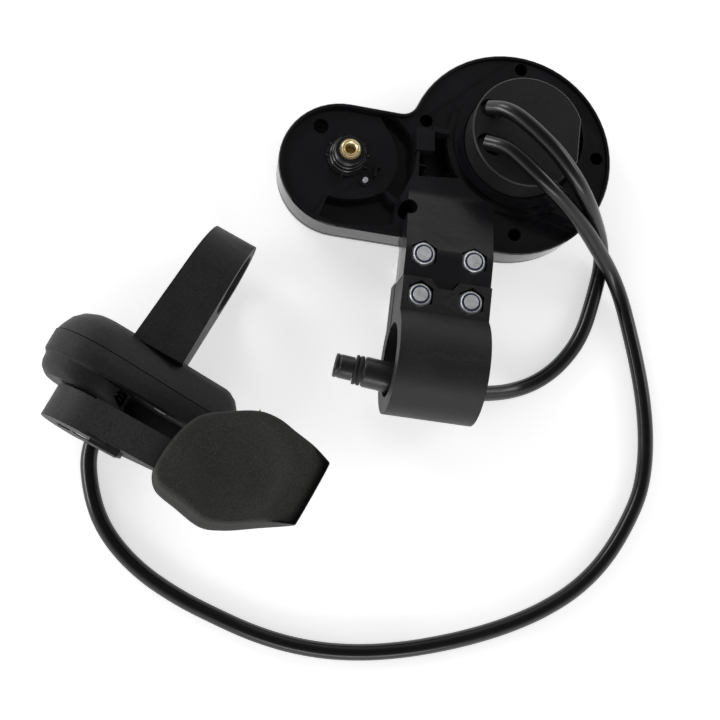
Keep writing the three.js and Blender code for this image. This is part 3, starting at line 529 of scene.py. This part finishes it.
# thumb pad: blended dish, soft rim and front facet
TOP = [[48.2, 8.8], [41.4, 11.0], [34.1, 12.2], [28.3, 13.2], [23.3, 12.9], [19.8, 11.7], [15.7, 9.4], [11.5, 6.6], [7.5, 3.9], [5.4, 1.6], [3.4, -2.6],
       [2.2, -8.1], [1.6, -13.6], [1.8, -18.2], [4.4, -21.6], [13.5, -23.3], [22.5, -24.7], [28.2, -22.6], [38.5, -16.8], [47.7, -13.2]]
LOW = [[48.6, 9.0], [41.7, 11.9], [34.3, 13.4], [28.3, 14.4], [23.0, 14.1], [19.2, 12.9], [15.0, 10.5], [10.8, 7.7], [6.8, 4.9], [4.6, 2.3], [2.5, -2.2],
       [1.2, -8.0], [0.6, -13.8], [1.2, -20.0], [4.4, -24.0], [12.8, -26.0], [22.6, -27.4], [29.0, -25.0], [38.8, -18.8], [48.4, -12.6]]


def closed_curve(points, per=9, corners=(0, 19)):
    """Smooth closed outline through the points, tight at the listed corners."""
    P = []
    n = len(points)
    for i, p in enumerate(points):
        p = Vector(p)
        if i in corners:
            a, b = Vector(points[i - 1]), Vector(points[(i + 1) % n])
            P += [p + (a - p).normalized() * 1.1, p + ((a - p).normalized() + (b - p).normalized()) * 0.18, p + (b - p).normalized() * 1.1]
        else:
            P.append(p)
    n = len(P)
    out = []
    for i in range(n):
        p0, p1, p2, p3 = P[i - 1], P[i], P[(i + 1) % n], P[(i + 2) % n]
        d0, d1, d2 = (p1 - p0).length ** 0.5, (p2 - p1).length ** 0.5, (p3 - p2).length ** 0.5
        m1 = ((p1 - p0) / d0 - (p2 - p0) / (d0 + d1) + (p2 - p1) / d1) * d1
        m2 = ((p2 - p1) / d1 - (p3 - p1) / (d1 + d2) + (p3 - p2) / d2) * d1
        for k in range(per):
            t = k / per
            out.append((2 * p1 - 2 * p2 + m1 + m2) * t ** 3 + (-3 * p1 + 3 * p2 - 2 * m1 - m2) * t ** 2 + m1 * t + p1)
    return out


def soft_min(a, b, k):
    h = max(0.0, min(1.0, 0.5 + 0.5 * (b - a) / k))
    return b * (1 - h) + a * h - k * h * (1 - h)


def pad_height(x, y):
    d2 = ((x - 22.9) / 16.3) ** 2 + ((y + 6.6) / 17.2) ** 2
    dish = 37.0 - 2.95 * (1 - d2 ** 1.7)
    facet = 37.05 - 0.40 * (x - 39.2)
    z = soft_min(36.95, dish, 0.45)
    return soft_min(z, facet, 0.12)


oT, oL = closed_curve(TOP), closed_curve(LOW)
CEN = Vector((23.5, -6.0))


def level(t):
    return [a + (b - a) * t for a, b in zip(oT, oL)]


def lifted(x, y):
    return x < 21.0 and y > -4.6


pad_rings = []
for s_ in (0.12, 0.35, 0.6, 0.8, 0.93):                     # underside
    r = [CEN + (p - CEN) * s_ for p in level(0.9)]
    pad_rings.append([TW(p.x, p.y, 33.9 if lifted(p.x, p.y) else 27.1) for p in r])
for t, z in ((0.90, 27.05), (1.0, 27.6), (0.86, 29.2), (0.70, 30.8), (0.54, 32.2), (0.44, 33.2), (0.36, 34.1), (0.27, 34.9), (0.17, 35.6), (0.03, 36.15)):
    r = [q if lifted(q.x, q.y) and z < 34.0 else p for p, q in zip(level(t), level(0.38))]
    pad_rings.append([TW(p.x, p.y, max(z, 33.9 + 0.02 * (z - 27)) if lifted(p.x, p.y) else z) for p in r])
inner = level(-0.12)
for s_, drop in ((1.0, 0.42), (0.985, 0.2), (0.965, 0.07), (0.94, 0.0), (0.91, 0.0), (0.88, 0.0), (0.85, 0.0), (0.82, 0.0), (0.79, 0.0), (0.76, 0.0), (0.72, 0.0), (0.68, 0.0),
                 (0.62, 0.0), (0.55, 0.0), (0.47, 0.0), (0.38, 0.0), (0.28, 0.0), (0.18, 0.0), (0.08, 0.0)):
    r = [CEN + (p - CEN) * s_ for p in inner]
    pad_rings.append([TW(p.x, p.y, pad_height(p.x, p.y) - drop) for p in r])
v, f = rings_to_mesh(pad_rings)
pad = mesh_piece("thumb_pad_skin", v, f, "grip_rubber", "lever", "thumb_pad")
wn = pad.modifiers.new("flatten", "WEIGHTED_NORMAL")
wn.weight = 60

# ------------------------------------------------------------------ floor and light
floor_mesh = bpy.data.meshes.new("floor")
bm = bmesh.new()
bmesh.ops.create_grid(bm, x_segments=8, y_segments=8, size=3.0)
bm.to_mesh(floor_mesh)
bm.free()
floor = bpy.data.objects.new("floor", floor_mesh)
bpy.context.scene.collection.objects.link(floor)
fm = Nodes("floor_paper")
fm.link(fm.ramp(fm.noise(30.0, 2.0), [(0.3, (0.92, 0.92, 0.92)), (0.7, (0.96, 0.96, 0.96))]), fm.bsdf.inputs["Base Color"])
fm.set(Roughness=0.9, Emission_Color=(1.0, 1.0, 1.0, 1.0), Emission_Strength=0.55)
floor.data.materials.append(fm.mat)
floor.location = (0, 0, -0.0002)


def area(name, loc, target, size, power, size_y=None):
    l = bpy.data.lights.new(name, "AREA")
    l.energy = power
    l.size = size
    if size_y:
        l.shape = "RECTANGLE"
        l.size_y = size_y
    o = bpy.data.objects.new(name, l)
    bpy.context.scene.collection.objects.link(o)
    o.location = loc
    o.rotation_euler = (Vector(target) - Vector(loc)).to_track_quat("-Z", "Y").to_euler()
    return o


area("key", (-0.75, 0.62, 0.55), (0, 0, 0.02), 0.45, 2.2, 0.30)
area("rim", (0.80, 0.45, 0.50), (0, 0, 0.02), 0.45, 1.2, 0.30)
area("front", (0.15, -0.95, 0.42), (0, 0, 0.02), 0.7, 1.9, 0.25)
area("side", (-0.95, -0.15, 0.30), (0, 0, 0.02), 0.5, 2.5, 0.20)
world = bpy.data.worlds.new("world")
bpy.context.scene.world = world
world.use_nodes = True
wt = world.node_tree
bg = wt.nodes["Background"]
tc = wt.nodes.new("ShaderNodeTexCoord")
sep = wt.nodes.new("ShaderNodeSeparateXYZ")
wr = wt.nodes.new("ShaderNodeValToRGB")
els = wr.color_ramp.elements
while len(els) < 5:
    els.new(0.5)
for e, (pos, v) in zip(els, ((0.0, 0.88), (0.30, 0.80), (0.60, 0.30), (0.85, 0.09), (1.0, 0.06))):
    e.position = pos
    e.color = (v, v, v * 1.01, 1.0)
wt.links.new(tc.outputs["Generated"], sep.inputs["Vector"])
wt.links.new(sep.outputs["Z"], wr.inputs["Fac"])
wt.links.new(wr.outputs["Color"], bg.inputs["Color"])
bg.inputs["Strength"].default_value = 1.35
bpy.context.scene.view_settings.view_transform = "Standard"
